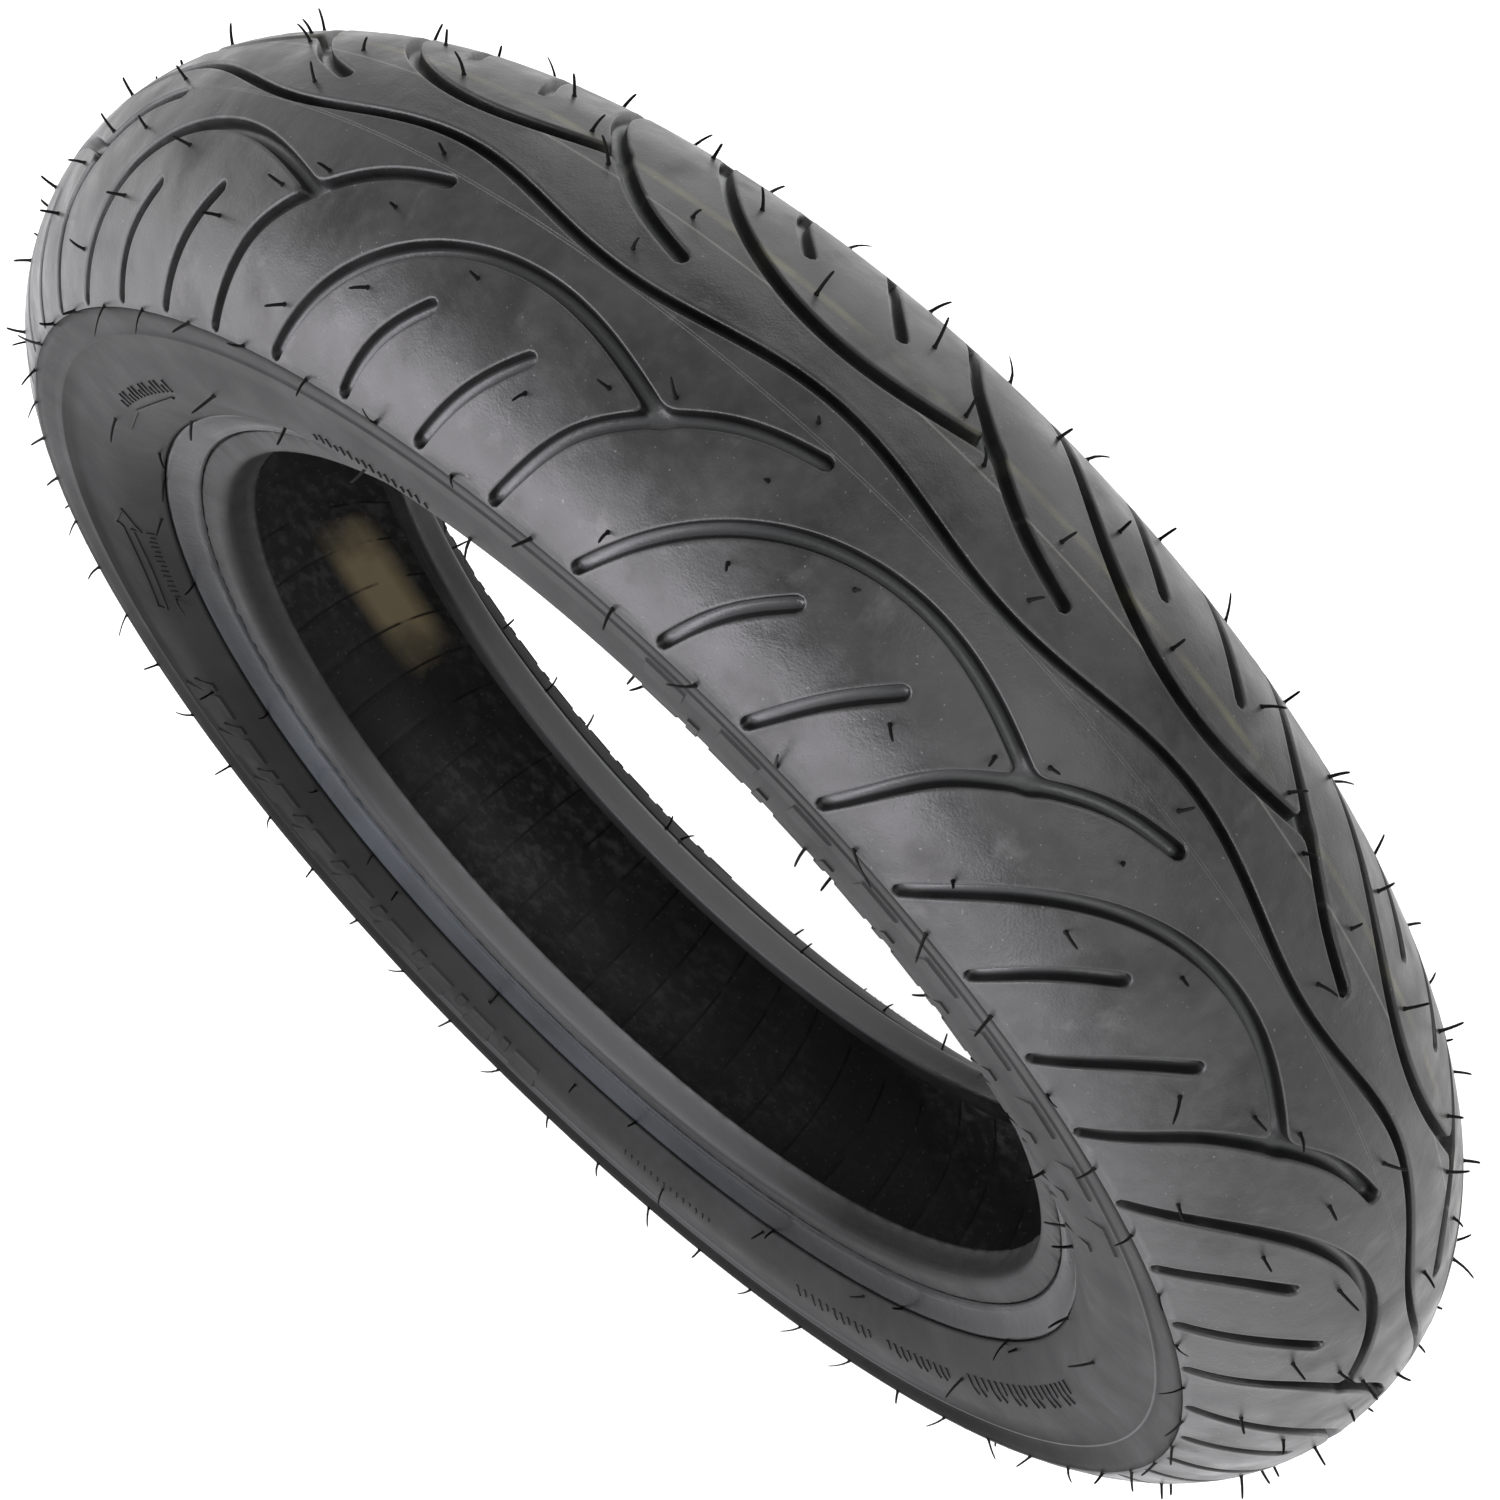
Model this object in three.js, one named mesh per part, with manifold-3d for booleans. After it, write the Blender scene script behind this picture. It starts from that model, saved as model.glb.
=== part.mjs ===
// A bare motorcycle tire, size 110/90-13, built from the rings of rubber, fabric and steel that a
// real one has. Millimetres. The wheel axle is the Y axis, +Z is up and the origin is the centre.
// Each ring is a closed profile of [radius, y] points turned round the axle. The profiles are
// written for the right side of the tire, where y is positive, and the left side mirrors them.
import * as THREE from "three";
import { mergeVertices } from "three/addons/utils/BufferGeometryUtils.js";
import Module from "manifold-3d";

const wasm = await Module();
wasm.setup();

// ---- Driving dimensions -------------------------------------------------------------------
const OUTER_RADIUS = 264; // half of the 528 mm overall diameter
const HALF_WIDTH = 55; // half of the 110 mm section width, met at the tread's shoulder
const CROWN_RADIUS = 61; // the tread is one arc of this radius across the tire
const RING_SIDES = 36; // flats round every ring
const GAP = 0.3; // between two layers that are vulcanised together in a real tire

const TREAD_THICKNESS = 7;
const BASE_THICKNESS = 1;
const BREAKER_THICKNESS = 0.7;
const PLY_THICKNESS = 0.7;
const LINER_THICKNESS = 1;

const PITCHES = 14; // repeats of the tread pattern round the tire
const GROOVE_WIDTH = 3.8;
const GROOVE_DEPTH = 5.2;
const CENTRE_GROOVE_WIDTH = 2.9;
const CENTRE_GROOVE_SWING = 3.6; // how far the centre groove waves to each side
const CUTTER_CLEARANCE = 2.5; // how far a groove cutter stands out of the tread
const PATTERN_START = THREE.MathUtils.degToRad(-2.1); // first pitch, measured from +Z toward +X

const SHOULDER_STEPS = 3; // flats from the crown to the shoulder in the layers under the tread
const TREAD_STEPS = 4; // flats from the crown to the shoulder on the tread surface
const BREAKER_STEPS = 2; // how many of the shoulder steps the breakers reach across

// ---- Worked out from them -----------------------------------------------------------------
const CROWN_CENTRE = OUTER_RADIUS - CROWN_RADIUS;
const SHOULDER_ANGLE = Math.asin(HALF_WIDTH / CROWN_RADIUS);
const PITCH_LENGTH = (2 * Math.PI * OUTER_RADIUS) / PITCHES;

// How far each layer's outer face stands outside the outer ply.
const innerBreakerTop = GAP + BREAKER_THICKNESS;
const outerBreakerTop = innerBreakerTop + GAP + BREAKER_THICKNESS;
const baseTop = outerBreakerTop + GAP + BASE_THICKNESS;
const plyDepth = TREAD_THICKNESS + GAP + baseTop;

// ---- Profile helpers ----------------------------------------------------------------------
// A point at a depth below the tread surface, at an angle across the crown from the centre line.
function crownPoint(depth, angle) {
  const radius = CROWN_RADIUS - depth;
  return [CROWN_CENTRE + radius * Math.cos(angle), radius * Math.sin(angle)];
}

// Half of a crown arc, from the centre line to the shoulder.
function crownArc(depth, steps) {
  return Array.from({ length: steps + 1 }, (_, i) => crownPoint(depth, (SHOULDER_ANGLE * i) / steps));
}

const mirrored = (points) => points.map(([radius, y]) => [radius, -y]);

// A path from the centre line down one side, continued up to it from the other side.
const bothSides = (half) => [...mirrored(half.slice(1)).reverse(), ...half];

// A point part of the way from one point to another.
const between = (a, b, share) => [a[0] + (b[0] - a[0]) * share, a[1] + (b[1] - a[1]) * share];

// A half path moved by a distance toward the tire's cavity, or away from it if negative.
function moved(half, distance) {
  const path = bothSides(half);
  const steps = path.slice(1).map(([radius, y], i) =>
    new THREE.Vector2(radius - path[i][0], y - path[i][1]).normalize(),
  );
  const shifted = path.map(([radius, y], i) => {
    const before = steps[Math.max(i - 1, 0)];
    const after = steps[Math.min(i, steps.length - 1)];
    const along = before.clone().add(after).normalize();
    const reach = distance / along.dot(before);
    return [radius - along.y * reach, y + along.x * reach];
  });
  return shifted.slice(half.length - 1);
}

// A closed band between two half paths, from bead to bead.
const band = (outside, inside) => [...bothSides(outside), ...bothSides(inside).reverse()];

// ---- Solids -------------------------------------------------------------------------------
// A closed profile turned round the axle, with its faces outward whichever way it is listed.
function ring(profile) {
  const points = profile.map(([radius, y]) => new THREE.Vector2(radius, y));
  if (THREE.ShapeUtils.area(points) < 0) points.reverse();
  points.push(points[0].clone());
  return new THREE.LatheGeometry(points, RING_SIDES);
}

function solidOf(geometry) {
  geometry.deleteAttribute("normal");
  geometry.deleteAttribute("uv");
  const merged = mergeVertices(geometry, 1e-3);
  return new wasm.Manifold(
    new wasm.Mesh({
      numProp: 3,
      vertProperties: merged.attributes.position.array,
      triVerts: new Uint32Array(merged.index.array),
    }),
  );
}

function geometryOf(solid) {
  const mesh = solid.getMesh();
  const geometry = new THREE.BufferGeometry();
  geometry.setAttribute("position", new THREE.BufferAttribute(new Float32Array(mesh.vertProperties), 3));
  geometry.setIndex(new THREE.BufferAttribute(new Uint32Array(mesh.triVerts), 1));
  return geometry;
}

// ---- Carcass lines that the layers share ----------------------------------------------------
// Outer face of the outer ply: crown, sidewall, rim flange hollow, and the side of the bead.
const outerPlyFace = [
  ...crownArc(plyDepth, SHOULDER_STEPS),
  [213.5, 49.4],
  [201.3, 49.7],
  [186, 41.4],
  [177.5, 37],
  [168.5, 37],
];
const shoulderAt = SHOULDER_STEPS;
const flatEndAt = shoulderAt + 2;
const flangeAt = flatEndAt + 1;
const heelAt = flangeAt + 1;

const underRubber = moved(outerPlyFace, -GAP);
const outerPlyInside = moved(outerPlyFace, PLY_THICKNESS);
const turnUpOutside = moved(outerPlyFace, PLY_THICKNESS + GAP);
const turnUpInside = moved(outerPlyFace, 2 * PLY_THICKNESS + GAP);

// Wire-side face of the inner ply: down the inside of the bead wire, under it, and up again.
const innerPlyFace = [
  ...turnUpOutside.slice(0, flatEndAt + 1),
  [176.2, 31],
  [167.8, 31],
  [167.8, 35.3],
  turnUpInside[heelAt],
  between(turnUpInside[flangeAt], turnUpInside[flatEndAt], 0.35),
];
const beadCornerAt = flatEndAt + 1;
const turnUpAt = beadCornerAt + 3;

// ---- Profiles -------------------------------------------------------------------------------
// Points of one layer line on the crown, from the centre line to the given step.
const crownPart = (line, steps) => line.slice(0, steps + 1);

const breakerProfile = (top) =>
  band(
    crownPart(moved(outerPlyFace, -top), BREAKER_STEPS),
    crownPart(moved(outerPlyFace, BREAKER_THICKNESS - top), BREAKER_STEPS),
  );

// The base fills the step beside the breakers, so that it lies on the ply out at the shoulder.
function treadBaseProfile() {
  const overBreakers = moved(outerPlyFace, BASE_THICKNESS - baseTop);
  const past = (line) => between(line[BREAKER_STEPS], line[BREAKER_STEPS + 1], 0.07);
  const underside = [
    ...crownPart(overBreakers, BREAKER_STEPS),
    past(overBreakers),
    past(underRubber),
    underRubber[shoulderAt],
  ];
  return band(crownPart(moved(outerPlyFace, -baseTop), SHOULDER_STEPS), underside);
}

const treadCapProfile = () =>
  band(crownArc(0, TREAD_STEPS), crownPart(moved(outerPlyFace, -baseTop - GAP), SHOULDER_STEPS));

// Sidewall rubber, from under the shoulder of the tread to the line where the rim flange ends.
const sidewallProfile = [
  [228.9, 54.8],
  [219.2, 53.2],
  [200.5, 53],
  [184.3, 44.4],
  underRubber[flangeAt],
  underRubber[flatEndAt],
  underRubber[shoulderAt + 1],
  between(underRubber[shoulderAt], underRubber[shoulderAt + 1], 0.06),
];

// Hollowed strip that the rim flange bears on.
const rimStripProfile = [
  [184, 44.1],
  [179.3, 41],
  [175.1, 38.6],
  [175.2, 37 + GAP],
  underRubber[heelAt],
  between(underRubber[flangeAt], underRubber[heelAt], 0.05),
];

// Strip wrapped round the bead, from the flat side face under the seat to the inside of the toe.
const linerOutside = moved(innerPlyFace, PLY_THICKNESS + GAP);
const linerInside = moved(innerPlyFace, PLY_THICKNESS + GAP + LINER_THICKNESS);
const partWayDown = (line, share) => between(line[beadCornerAt], line[flatEndAt], share);
const chaferProfile = [
  [174.4, 38.4],
  [167, 38.4],
  [165.2, 36.9],
  [163.4, 28],
  [174.9, 28],
  partWayDown(linerInside, 0.1),
  partWayDown(linerOutside, 0.1),
  linerOutside[beadCornerAt],
  [166.8, 30],
  [166.8, 37 + GAP],
  [174.4, 37 + GAP],
];

const linerProfile = band(
  [...linerOutside.slice(0, beadCornerAt), partWayDown(linerOutside, 0.112)],
  [...linerInside.slice(0, beadCornerAt), partWayDown(linerInside, 0.112)],
);

const beadWireProfile = [[168.1, 31.3], [173, 31.3], [173, 35], [168.1, 35]];

// Wedge of hard rubber that stands on the bead wire, between the inner ply and its turn-up.
const besidePly = moved(innerPlyFace, -GAP);
const beadFillerProfile = [
  [173.3, 31.3],
  besidePly[beadCornerAt],
  partWayDown(besidePly, 0.42),
  between(besidePly[turnUpAt], besidePly[turnUpAt + 1], 0.72),
  besidePly[turnUpAt],
  [173.3, 35],
];

// ---- Tread pattern --------------------------------------------------------------------------
// Centre lines of the grooves of one pitch on one half of the tread. Each point is [distance
// round the tire, distance from the centre line], both measured along the tread surface.
const grooves = [
  // From the shoulder to near the centre line.
  { steps: 4, line: [[0, 65.8], [8.2, 46.5], [21.3, 28.8], [43.8, 13.3], [62, 8.2]] },
  // From the shoulder, round the tire and into the next pitch's first groove.
  {
    steps: 5,
    line: [[30, 65.8], [42.2, 47.2], [58.8, 30.5], [78.8, 19.7], [104, 15.5], [132.2, 20.2], [146, 25.4]],
  },
  // Two short ones at the shoulder, inside the long one's curve.
  { steps: 1, line: [[60.6, 65.5], [67.2, 48.8], [79.2, 35.5]] },
  { steps: 1, line: [[90.3, 65.3], [99.7, 46.3], [110.5, 32.7]] },
];

// A cutter for one groove: a band of even width that follows the line.
function grooveCutter({ line, steps }, start, side) {
  const curve = new THREE.SplineCurve(line.map(([round, across]) => new THREE.Vector2(round, across)));
  const half = GROOVE_WIDTH / 2;
  const top = -CUTTER_CLEARANCE;
  const corners = [[-half, top], [half, top], [half, GROOVE_DEPTH], [-half, GROOVE_DEPTH]];
  const positions = [];
  for (let i = 0; i <= steps; i += 1) {
    const centre = curve.getPoint(i / steps);
    const along = curve.getTangent(i / steps);
    for (const [sideways, depth] of corners) {
      const turn = start + (centre.x - along.y * sideways) / OUTER_RADIUS;
      const across = (centre.y + along.x * sideways) / CROWN_RADIUS;
      const [radius, y] = crownPoint(depth, across);
      positions.push(radius * Math.sin(turn), side * y, radius * Math.cos(turn));
    }
  }
  return solidOf(tube(positions, steps + 1, side));
}

// Faces of a tube with four corners at every station. A mirrored tube has them the other way round.
function tube(positions, stations, side) {
  const faces = [];
  const quad = (a, b, c, d) => faces.push([a, b, c], [a, c, d]);
  for (let station = 0; station < stations - 1; station += 1) {
    for (let corner = 0; corner < 4; corner += 1) {
      const here = 4 * station;
      const next = (corner + 1) % 4;
      quad(here + corner, here + 4 + corner, here + 4 + next, here + next);
    }
  }
  const end = 4 * (stations - 1);
  quad(0, 1, 2, 3);
  quad(end + 3, end + 2, end + 1, end);
  const index = faces.flatMap(([a, b, c]) => (side < 0 ? [a, c, b] : [a, b, c]));
  const geometry = new THREE.BufferGeometry();
  geometry.setAttribute("position", new THREE.Float32BufferAttribute(positions, 3));
  geometry.setIndex(index);
  return geometry;
}

// The continuous groove that waves along the centre line, one wave to each pitch.
function centreGrooveCutter() {
  const stations = PITCHES * 5;
  const bottom = OUTER_RADIUS - GROOVE_DEPTH;
  const top = OUTER_RADIUS + CUTTER_CLEARANCE;
  const half = CENTRE_GROOVE_WIDTH / 2;
  const points = [[bottom, -half], [top, -half], [top, half], [bottom, half], [bottom, -half]];
  const geometry = new THREE.LatheGeometry(points.map((p) => new THREE.Vector2(...p)), stations);
  const position = geometry.attributes.position;
  for (let i = 0; i < position.count; i += 1) {
    const turn = Math.atan2(position.getX(i), position.getZ(i));
    position.setY(i, position.getY(i) - CENTRE_GROOVE_SWING * Math.cos(PITCHES * turn));
  }
  return solidOf(geometry.rotateY(PATTERN_START));
}

function groovedTread() {
  let tread = solidOf(ring(treadCapProfile())).subtract(centreGrooveCutter());
  for (const side of [-1, 1]) {
    // The two halves mirror each other, half a pitch apart.
    const shift = side < 0 ? 0 : PITCH_LENGTH / 2;
    for (let pitch = 0; pitch < PITCHES; pitch += 1) {
      const start = PATTERN_START + (pitch * PITCH_LENGTH + shift) / OUTER_RADIUS;
      for (const groove of grooves) tread = tread.subtract(grooveCutter(groove, start, side));
    }
  }
  return geometryOf(tread);
}

// ---- Assembly ---------------------------------------------------------------------------------
const group = new THREE.Group();
group.name = "motorcycle_tire";

function add(name, geometry, color, roughness, metalness = 0) {
  const material = new THREE.MeshStandardMaterial({ color, roughness, metalness });
  const mesh = new THREE.Mesh(geometry, material);
  mesh.name = name;
  group.add(mesh);
}

function addPair(name, profile, color, roughness, metalness = 0) {
  add(`left_${name}`, ring(mirrored(profile)), color, roughness, metalness);
  add(`right_${name}`, ring(profile), color, roughness, metalness);
}

add("tread_cap", groovedTread(), 0x60605f, 0.75);
add("tread_base", ring(treadBaseProfile()), 0x343434, 0.8);
add("outer_breaker_ply", ring(breakerProfile(outerBreakerTop)), 0x6e6048, 0.9);
add("inner_breaker_ply", ring(breakerProfile(innerBreakerTop)), 0x655842, 0.9);
add("outer_carcass_ply", ring(band(outerPlyFace, outerPlyInside)), 0x7a6a4e, 0.9);
add("inner_carcass_ply", ring(band(innerPlyFace, moved(innerPlyFace, PLY_THICKNESS))), 0x705f45, 0.9);
add("inner_liner", ring(linerProfile), 0x1b1b1c, 0.6);
addPair("sidewall", sidewallProfile, 0x4f4c49, 0.7);
addPair("rim_strip", rimStripProfile, 0x454a50, 0.6);
addPair("chafer", chaferProfile, 0x5b5b5c, 0.65);
addPair("bead_filler", beadFillerProfile, 0x262626, 0.7);
addPair("bead_wire", beadWireProfile, 0xa08c68, 0.35, 0.9);

export default group;
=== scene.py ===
"""A bare motorcycle tire, 110/90-13, drawn round its hidden inner layers.

Shapes are written in millimetres and become metres when a mesh is made. Paints and the studio are in metres.
The wheel axle is the Y axis and +Z is up. A place on the tire is a radius from the axle, a y along it, and a
turn round it: radians from +Z toward +X. A place on the tread is [round, across]: both along its surface,
from the first pitch and from the centre line.
"""

import math
import random

import bpy
import numpy as np
from mathutils import Matrix, Vector
from mathutils.geometry import delaunay_2d_cdt


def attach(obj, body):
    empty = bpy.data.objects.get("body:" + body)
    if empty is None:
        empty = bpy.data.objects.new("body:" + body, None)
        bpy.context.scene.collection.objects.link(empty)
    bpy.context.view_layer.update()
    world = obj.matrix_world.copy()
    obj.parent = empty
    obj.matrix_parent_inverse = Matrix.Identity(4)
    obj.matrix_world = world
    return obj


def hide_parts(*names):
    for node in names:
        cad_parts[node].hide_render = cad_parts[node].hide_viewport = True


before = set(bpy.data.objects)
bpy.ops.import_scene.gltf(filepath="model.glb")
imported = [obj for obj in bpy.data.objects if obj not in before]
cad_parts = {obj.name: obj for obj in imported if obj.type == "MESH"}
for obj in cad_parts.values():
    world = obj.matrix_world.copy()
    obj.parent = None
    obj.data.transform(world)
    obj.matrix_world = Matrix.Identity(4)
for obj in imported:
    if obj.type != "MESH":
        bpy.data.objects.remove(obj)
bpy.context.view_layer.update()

MM = 0.001
OUTER_RADIUS = 264.0
CROWN_RADIUS = 61.0
CROWN_CENTRE = OUTER_RADIUS - CROWN_RADIUS
SHOULDER = 68.5  # distance across the tread from the centre line to its edge
TREAD_THICKNESS = 7.0

PITCHES = 14
PITCH = 2 * math.pi * OUTER_RADIUS / PITCHES
PATTERN_START = math.radians(-2.1)
GROOVE_HALF = 2.05
CENTRE_GROOVE_HALF = 1.55
CENTRE_GROOVE_SWING = 3.8
CENTRE_GROOVE_SHIFT = 4.5  # how far before the pitch's start its wave is furthest to the left

RING_STEPS = 448  # flats round the smooth rings

# ---- Camera --------------------------------------------------------------------------------------
AIM = Vector((0.0022, 0.0216, 0.0073))
AZIMUTH, ELEVATION, DISTANCE = math.radians(42.31), math.radians(63.31), 0.8861
LENS, SENSOR = 69.67, 36.0


def add_camera():
    back = Vector(
        (
            math.sin(AZIMUTH) * math.cos(ELEVATION),
            -math.cos(AZIMUTH) * math.cos(ELEVATION),
            math.sin(ELEVATION),
        )
    )
    data = bpy.data.cameras.new("camera")
    data.lens = LENS
    data.sensor_width = SENSOR
    data.clip_start = 0.05
    camera = bpy.data.objects.new("camera", data)
    camera.location = AIM + back * DISTANCE
    camera.rotation_mode = "QUATERNION"
    camera.rotation_quaternion = (-back).to_track_quat("-Z", "Y")
    bpy.context.scene.collection.objects.link(camera)
    bpy.context.scene.camera = camera


# ---- Places on the tire --------------------------------------------------------------------------
def ring_points(radius, y, turn):
    """Points in metres, from arrays or numbers in millimetres and radians."""
    radius, y, turn = np.broadcast_arrays(radius, y, turn)
    return np.stack([radius * np.sin(turn), y, radius * np.cos(turn)], axis=-1) * MM


def tread_points(round_, across, depth):
    angle = np.asarray(across) / CROWN_RADIUS
    reach = CROWN_RADIUS - np.asarray(depth)
    turn = PATTERN_START + np.asarray(round_) / OUTER_RADIUS
    return ring_points(CROWN_CENTRE + reach * np.cos(angle), reach * np.sin(angle), turn)


def spline(points, steps):
    """A smooth curve through the points, with this many samples between each two."""
    points = np.array(points, float)
    padded = np.vstack([2 * points[0] - points[1], points, 2 * points[-1] - points[-2]])
    t = np.linspace(0, 1, steps, endpoint=False)[:, None]
    parts = []
    for a, b, c, d in zip(padded, padded[1:], padded[2:], padded[3:]):
        parts.append(
            0.5 * (2 * b + (c - a) * t + (2 * a - 5 * b + 4 * c - d) * t**2 + (3 * b - a - 3 * c + d) * t**3)
        )
    return np.vstack([*parts, points[-1:]])


# ---- Objects -------------------------------------------------------------------------------------
def add_object(name, points, faces, uvs=None, smooth=True):
    """A mesh piece that rides on the tire. uvs holds one pair for each face corner."""
    mesh = bpy.data.meshes.new(name)
    mesh.from_pydata(np.asarray(points).tolist(), [], [list(map(int, face)) for face in faces])
    if uvs is not None:
        layer = mesh.uv_layers.new(name="UVMap")
        layer.data.foreach_set("uv", np.asarray(uvs, np.float32).ravel())
    mesh.polygons.foreach_set("use_smooth", [smooth] * len(mesh.polygons))
    mesh.update()
    thing = bpy.data.objects.new(name, mesh)
    bpy.context.scene.collection.objects.link(thing)
    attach(thing, "root")
    return thing


def add_ring(name, profile, warp=None, steps=RING_STEPS):
    """A closed profile of [radius, y] points turned round the axle. warp moves points by their turn."""
    profile = np.asarray(profile, float)
    following = np.roll(profile, -1, axis=0)
    area = np.sum(profile[:, 0] * following[:, 1] - following[:, 0] * profile[:, 1])
    if area < 0:
        profile = profile[::-1]
    count = len(profile)
    turns = np.arange(steps) * 2 * math.pi / steps
    radius = np.repeat(profile[None, :, 0], steps, axis=0)
    y = np.repeat(profile[None, :, 1], steps, axis=0)
    turn = np.repeat(turns[:, None], count, axis=1)
    if warp is not None:
        radius, y = warp(radius, y, turn)
    points = ring_points(radius, y, turn).reshape(-1, 3)
    lengths = np.linalg.norm(np.roll(profile, -1, axis=0) - profile, axis=1)
    along = np.concatenate([[0], np.cumsum(lengths)]) * MM
    faces, uvs = [], []
    for i in range(steps):
        after = (i + 1) % steps
        left, right = i / steps, (i + 1) / steps
        for j in range(count):
            below = (j + 1) % count
            faces.append((i * count + j, i * count + below, after * count + below, after * count + j))
            uvs += [(left, along[j]), (left, along[j + 1]), (right, along[j + 1]), (right, along[j])]
    return add_object(name, points, faces, uvs)


# ---- Tread ---------------------------------------------------------------------------------------
# Centre lines of the grooves of one pitch, on the left half of the tread.
FORK_GROOVE = [(0, 66), (3.8, 57.2), (8.8, 45.5), (14.7, 36.3), (27.2, 25), (43.8, 13.3), (62.2, 8.3)]
LONG_GROOVE = [
    (30, 66), (42.2, 47.2), (58.8, 30.5), (78.8, 19.7), (100.5, 15.5), (122.2, 17.7), (145.7, 25)
]
SHORT_GROOVE = [(60.2, 65.5), (67.2, 48.8), (79.2, 35.5)]
SLOPING_GROOVE = [(90.2, 65.5), (99.7, 46.3), (110.5, 32.7)]
# Distance outside a groove's edge, and how deep the rubber lies there.
GROOVE_SECTION = [(1.1, 0), (0.5, -0.1), (0.1, 0.05), (-0.15, 0.8), (-0.5, 3.8), (-0.85, 4.6)]
EASING_ROUNDS = 60
CURVE_STEPS = 12  # samples between two points of a groove's centre line
WAVE_STEPS = 120  # samples of the waving groove
WAVE_OVERLAP = 12  # how far the waving groove is followed past both ends of the pitch
FORK_BLEND = 2.4  # how far the corners where two grooves meet are rounded
GROOVE_REACH = 6  # a groove is measured only from places this close to its bounds
FAR = 50.0  # distance given to a place with no groove near it
FIELD_COLUMNS, FIELD_ROWS = 160, 184  # cells in which the edges of the grooves are looked for
CONTOUR_SPACING = 1.7
OPEN_SPACING = 3.2
UNDERSIDE_ROWS = 11
SAME_PLACE = 1e-5
ON_BORDER = 1e-4
FULL_DEPTH_ACROSS, SHALLOW_SHARE = 26.0, 0.6  # the grooves run shallower toward the shoulders
UNPAINTED_ACROSS = 0.2  # a place in metres beyond every painted line, for the tread's back


def eased(curve):
    """The curve with its bends evened out and its ends kept."""
    for _ in range(EASING_ROUNDS):
        curve[1:-1] += 0.5 * ((curve[:-2] + curve[2:]) / 2 - curve[1:-1])
    return curve


def groove_lines():
    """Every groove near one pitch as (points, half width), with its copies in the pitches beside it."""
    lines = []
    for groove in (FORK_GROOVE, LONG_GROOVE, SHORT_GROOVE, SLOPING_GROOVE):
        curve = eased(spline(groove, CURVE_STEPS))
        for side, shift in ((-1, 0), (1, PITCH / 2)):
            for copy in (-2, -1, 0, 1):
                offset = np.array([shift + copy * PITCH, 0])
                lines.append((curve * [1, side] + offset, GROOVE_HALF))
    wave_round = np.linspace(-WAVE_OVERLAP, PITCH + WAVE_OVERLAP, WAVE_STEPS)
    wave_across = -CENTRE_GROOVE_SWING * np.cos(2 * math.pi * (wave_round + CENTRE_GROOVE_SHIFT) / PITCH)
    lines.append((np.stack([wave_round, wave_across], axis=1), CENTRE_GROOVE_HALF))
    return lines


def groove_distance(places, lines):
    """How far each place lies outside the nearest groove's edge, negative inside it.

    The corners where two grooves meet come out rounded.
    """
    nearest = np.full(len(places), FAR)
    for line, half in lines:
        low, high = line.min(0) - GROOVE_REACH, line.max(0) + GROOVE_REACH
        near = np.all((places > low) & (places < high), axis=1)
        here = places[near]
        if not len(here):
            continue
        best = np.full(len(here), FAR)
        for a, b in zip(line, line[1:]):
            step = b - a
            share = np.clip((here - a) @ step / (step @ step), 0, 1)
            best = np.minimum(best, np.linalg.norm(here - a - share[:, None] * step, axis=1))
        before, after = nearest[near], best - half
        share = np.clip(0.5 + 0.5 * (before - after) / FORK_BLEND, 0, 1)
        nearest[near] = before + (after - before) * share - FORK_BLEND * share * (1 - share)
    return nearest


def contours(field, xs, ys, level):
    """Chains of points where the field crosses the level, found cell by cell."""
    links = {}

    def crossing(i, j, k, m):
        a, b = field[i, j] - level, field[k, m] - level
        share = a / (a - b)
        return (i, j, k, m), (xs[i] + (xs[k] - xs[i]) * share, ys[j] + (ys[m] - ys[j]) * share)

    places = {}
    above = field > level
    mixed = above[:-1, :-1].astype(int) + above[1:, :-1] + above[1:, 1:] + above[:-1, 1:]
    for i, j in np.argwhere((mixed > 0) & (mixed < 4)):
        corners = [(i, j), (i + 1, j), (i + 1, j + 1), (i, j + 1)]
        keys = []
        for a, b in zip(corners, corners[1:] + corners[:1]):
            if above[a] != above[b]:
                low, high = min(a, b), max(a, b)
                key, place = crossing(*low, *high)
                places[key] = place
                keys.append(key)
        if len(keys) == 4 and (field[i : i + 2, j : j + 2].mean() > level) == above[i, j]:
            keys = keys[1:] + keys[:1]
        for a, b in zip(keys[::2], keys[1::2]):
            links.setdefault(a, []).append(b)
            links.setdefault(b, []).append(a)

    chains = []
    starts = [key for key in links if len(links[key]) == 1] + list(links)
    seen = set()
    for start in starts:
        if start in seen:
            continue
        chain = [start]
        seen.add(start)
        while True:
            onward = [key for key in links[chain[-1]] if key not in seen]
            if not onward:
                break
            chain.append(onward[0])
            seen.add(onward[0])
        closed = len(chain) > 2 and start in links[chain[-1]]
        if closed:
            chain.append(start)
        chains.append((np.array([places[key] for key in chain]), closed))
    return chains


def evenly(chain, closed, spacing):
    """The chain with its points spread evenly, its ends kept."""
    lengths = np.concatenate([[0], np.cumsum(np.linalg.norm(np.diff(chain, axis=0), axis=1))])
    count = max(4 if closed else 2, round(lengths[-1] / spacing) + 1)
    at = np.linspace(0, lengths[-1], count)
    spread = np.stack([np.interp(at, lengths, chain[:, 0]), np.interp(at, lengths, chain[:, 1])], axis=1)
    return spread[:-1] if closed else spread


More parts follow.
